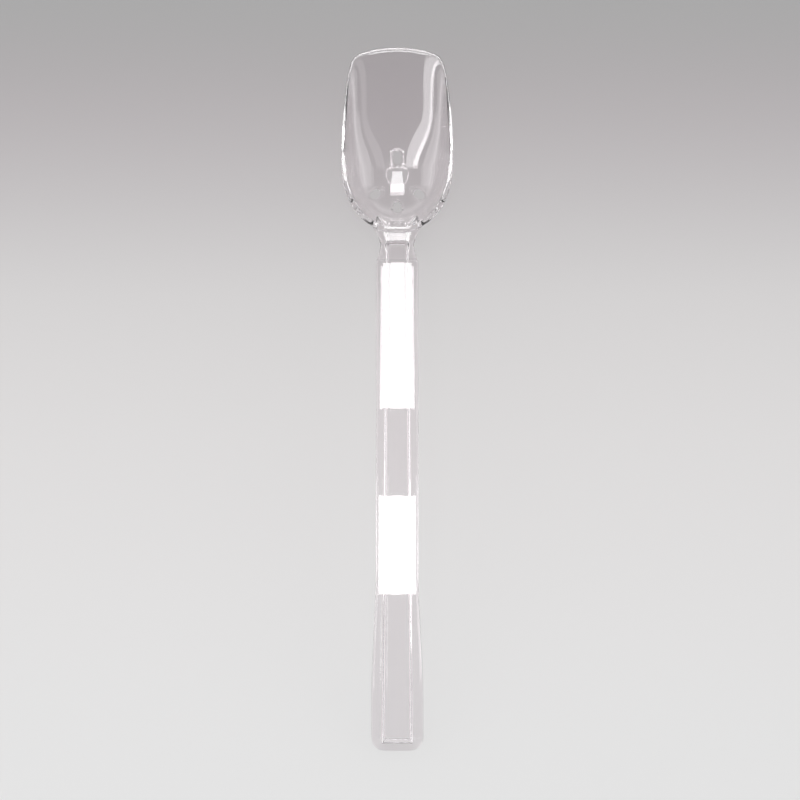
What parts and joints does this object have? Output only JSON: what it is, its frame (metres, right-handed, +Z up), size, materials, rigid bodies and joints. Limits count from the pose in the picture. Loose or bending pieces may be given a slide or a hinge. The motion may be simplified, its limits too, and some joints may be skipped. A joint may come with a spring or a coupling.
{
  "type": "perforated serving spoon",
  "caption": "Clear one-piece moulded serving scoop: long arched channel-backed handle and square-tipped slotted bowl for lifting and draining ice or garnish.",
  "frame": {"origin": "on the table plane, at the middle of the scoop's length and width", "axes": "+Z up, +Y along the scoop from the end of the handle to the tip of the bowl, +X to the right"},
  "size_m": [0.0402, 0.254, 0.0243],
  "materials": {
    "clear_polycarbonate": "water-clear injection-moulded polycarbonate, polished mould surface"
  },
  "bodies": {
    "root": {"bowl": "clear_polycarbonate", "neck": "clear_polycarbonate", "handle_deck": "clear_polycarbonate", "left_rail": "clear_polycarbonate", "right_rail": "clear_polycarbonate", "end_wall": "clear_polycarbonate"}
  },
  "joints": []
}
